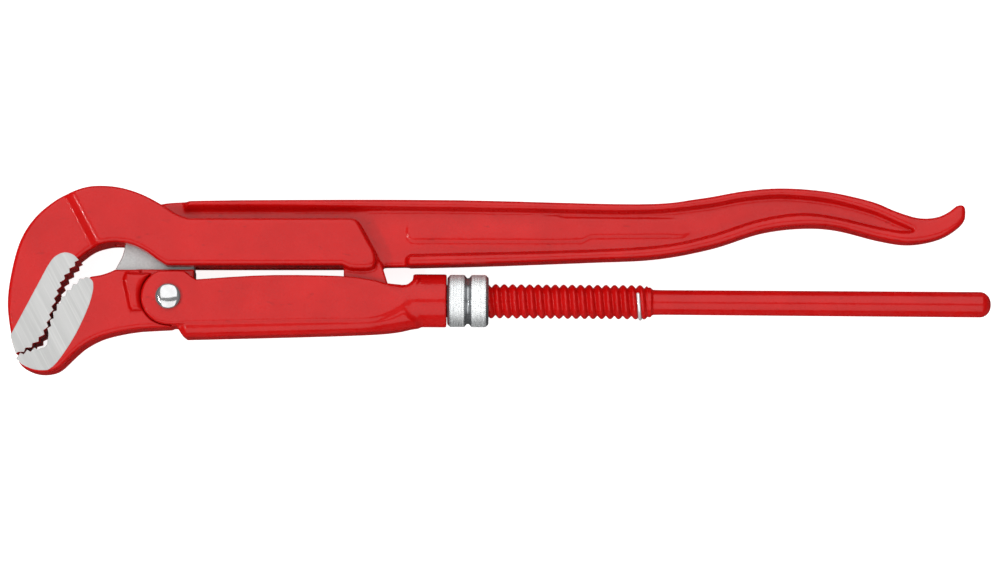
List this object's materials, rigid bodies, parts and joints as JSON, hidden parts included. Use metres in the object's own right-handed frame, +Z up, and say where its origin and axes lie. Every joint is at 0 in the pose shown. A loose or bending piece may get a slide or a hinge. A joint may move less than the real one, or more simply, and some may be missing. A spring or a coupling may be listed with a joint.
{
  "type": "pipe wrench",
  "caption": "Swedish-pattern pipe wrench with S-shaped toothed jaws; a knurled nut on the threaded lower leg sets the opening.",
  "frame": {"origin": "bottom centre of the tool's box as it lies flat on its side, jaws closed", "axes": "+X from the jaws to the handle ends, +Y from the lower leg to the upper leg, +Z up through the tool's thickness, with the rivet's domed head on top"},
  "size_m": [0.4197, 0.0802, 0.0249],
  "materials": {
    "red_coat": "glossy red powder coat over forged steel",
    "bare_steel": "ground, lightly streaked",
    "polished_rivet": "polished domed head",
    "plated_nut": "bright zinc plating over a fine knurl",
    "ring_wire": "drawn spring wire"
  },
  "bodies": {
    "upper_leg": {"upper_leg": "red_coat"},
    "lower_jaw": {"lower_jaw": "red_coat", "guide_tongue": "bare_steel", "jaw_rivet": "polished_rivet"},
    "guide_sleeve": {"guide_sleeve": "red_coat"},
    "lower_leg": {"lower_leg": "red_coat", "cross_pin": "bare_steel", "stop_ring": "ring_wire"},
    "adjusting_nut": {"adjusting_nut": "plated_nut"}
  },
  "joints": [
    {"name": "jaw_travel", "type": "slide", "parent": "upper_leg", "child": "lower_jaw", "axis": [1, 0, 0], "range_m": [0, 0.0617]},
    {"name": "lower_leg_swing", "type": "hinge", "parent": "lower_jaw", "child": "guide_sleeve", "pos_m": [-0.14107, -0.00775, 0.0114], "axis": [0, 0, 1], "range_deg": [-4, 0]},
    {"name": "lower_leg_slide", "type": "slide", "parent": "guide_sleeve", "child": "lower_leg", "axis": [1, -0.0072, 0], "range_m": [-0.0617, 0]},
    {"name": "nut_spin", "type": "hinge", "parent": "guide_sleeve", "child": "adjusting_nut", "pos_m": [-0.14107, -0.00775, 0.0114], "axis": [1, -0.0072, 0], "range_deg": [0, 6120]}
  ],
  "couplings": [
    {"joint": "nut_spin", "follows": "jaw_travel", "rad_per_m": 1730.9},
    {"joint": "lower_leg_slide", "follows": "jaw_travel", "ratio": -1}
  ]
}
